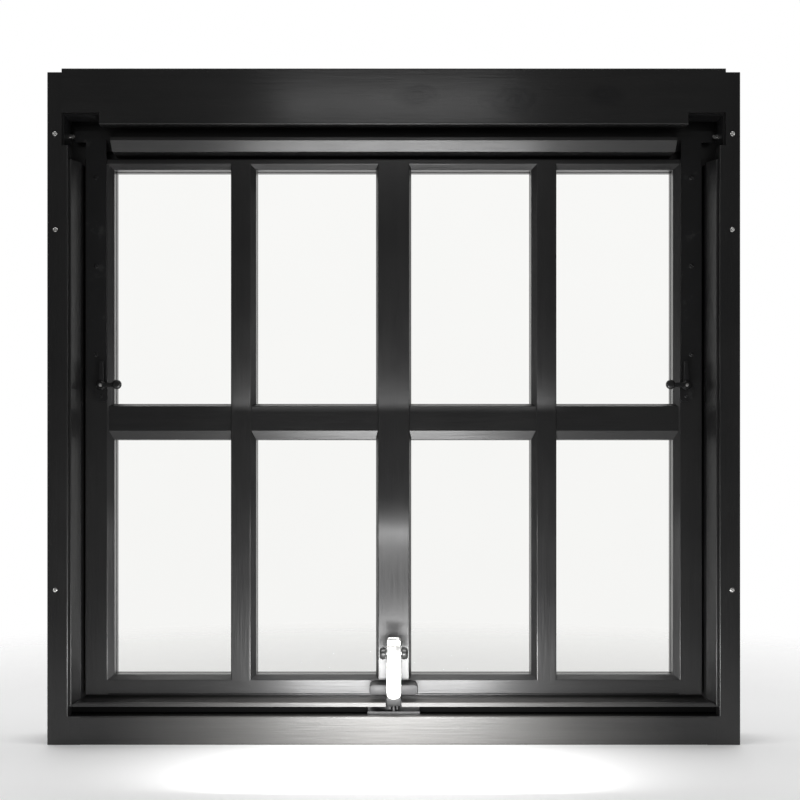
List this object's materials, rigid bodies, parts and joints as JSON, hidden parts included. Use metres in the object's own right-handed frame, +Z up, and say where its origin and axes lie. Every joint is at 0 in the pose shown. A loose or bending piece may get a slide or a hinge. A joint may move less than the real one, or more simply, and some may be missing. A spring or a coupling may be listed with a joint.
{
  "type": "window sash with crank",
  "caption": "Black-painted timber window: fixed frame and divided-light sash hinged at its head, opened outwards by a crank at the sill, with a small lock lever on each stile.",
  "frame": {"origin": "underside of the sill, in the middle of its width and of the frame's depth", "axes": "+X to the right seen from the room, +Y outwards to the weather side, +Z up"},
  "size_m": [1, 0.1227, 0.976],
  "materials": {
    "painted_timber": "black satin paint over knotty softwood",
    "black_steel": "black lacquer",
    "bright_steel": "nickel-plated, lightly worn",
    "black_plastic": "moulded black",
    "seal_rubber": "matt",
    "clear_glass": "clear float glass, slightly aged"
  },
  "bodies": {
    "frame": {"header_board": "painted_timber", "sill_board": "painted_timber", "jamb_board_left": "painted_timber", "jamb_board_right": "painted_timber", "casing_screws": "bright_steel", "frame_jamb_left": "painted_timber", "frame_jamb_right": "painted_timber", "frame_head": "painted_timber", "frame_sill": "painted_timber", "stop_side_left": "painted_timber", "stop_side_right": "painted_timber", "stop_sill": "painted_timber", "stop_head": "painted_timber", "head_web": "painted_timber", "lock_keepers": "black_steel", "frame_seal": "seal_rubber", "hinge_brackets": "black_steel", "hinge_pins": "bright_steel", "operator_housing": "black_steel", "operator_case": "black_steel"},
    "sash": {"stile_left": "painted_timber", "stile_right": "painted_timber", "top_rail": "painted_timber", "bottom_rail": "painted_timber", "centre_mullion": "painted_timber", "glazing_bar_left": "painted_timber", "glazing_bar_right": "painted_timber", "middle_rail_1": "painted_timber", "middle_rail_2": "painted_timber", "middle_rail_3": "painted_timber", "middle_rail_4": "painted_timber", "pane_upper_1": "clear_glass", "pane_upper_2": "clear_glass", "pane_upper_3": "clear_glass", "pane_upper_4": "clear_glass", "pane_lower_1": "clear_glass", "pane_lower_2": "clear_glass", "pane_lower_3": "clear_glass", "pane_lower_4": "clear_glass", "glazing_beads": "painted_timber", "hinge_strap_left": "black_steel", "hinge_strap_right": "black_steel", "sash_screws": "bright_steel", "lock_base_left": "black_steel", "lock_base_right": "black_steel", "sash_track": "black_steel"},
    "drive_shaft": {"drive_shaft": "bright_steel"},
    "operator_arm": {"sector_gear": "black_steel", "operator_arm": "black_steel"},
    "arm_roller": {"arm_roller": "black_plastic"},
    "crank": {"crank_spindle": "bright_steel", "crank_arm": "bright_steel", "crank_cap": "bright_steel", "crank_rivet": "bright_steel"},
    "grip": {"grip_pin": "bright_steel", "grip_knobs": "black_plastic"},
    "lock_left": {"lock_lever_left": "black_steel", "lock_knob_left": "black_plastic"},
    "lock_right": {"lock_lever_right": "black_steel", "lock_knob_right": "black_plastic"}
  },
  "joints": [
    {"name": "sash_open", "type": "hinge", "parent": "frame", "child": "sash", "pos_m": [0, -0.008, 0.888], "axis": [1, 0, 0], "range_deg": [0, 20]},
    {"name": "crank_turn", "type": "hinge", "parent": "frame", "child": "crank", "pos_m": [0, -0.06, 0.079], "axis": [0, 1, 0], "range_deg": [0, 528]},
    {"name": "drive_shaft_turn", "type": "hinge", "parent": "frame", "child": "drive_shaft", "pos_m": [0, -0.0205, 0.06], "axis": [0, 0, 1], "range_deg": [-528, 0]},
    {"name": "arm_swing", "type": "hinge", "parent": "frame", "child": "operator_arm", "pos_m": [0, 0.02, 0.05], "axis": [0, 0, 1], "range_deg": [0, 66]},
    {"name": "arm_roller_turn", "type": "hinge", "parent": "operator_arm", "child": "arm_roller", "pos_m": [0.3, 0.02, 0.055], "axis": [0, 0, 1], "continuous": true},
    {"name": "grip_turn", "type": "hinge", "parent": "crank", "child": "grip", "pos_m": [0, -0.064, 0.134], "axis": [1, 0, 0], "continuous": true},
    {"name": "lock_left_turn", "type": "hinge", "parent": "sash", "child": "lock_left", "pos_m": [-0.429, -0.018, 0.521], "axis": [0, -1, 0], "range_deg": [0, 90]},
    {"name": "lock_right_turn", "type": "hinge", "parent": "sash", "child": "lock_right", "pos_m": [0.429, -0.018, 0.521], "axis": [0, 1, 0], "range_deg": [0, 90]}
  ],
  "couplings": [
    {"joint": "crank_turn", "follows": "sash_open", "ratio": 26.4},
    {"joint": "drive_shaft_turn", "follows": "sash_open", "ratio": -26.4},
    {"joint": "arm_swing", "follows": "sash_open", "ratio": 3.3}
  ]
}
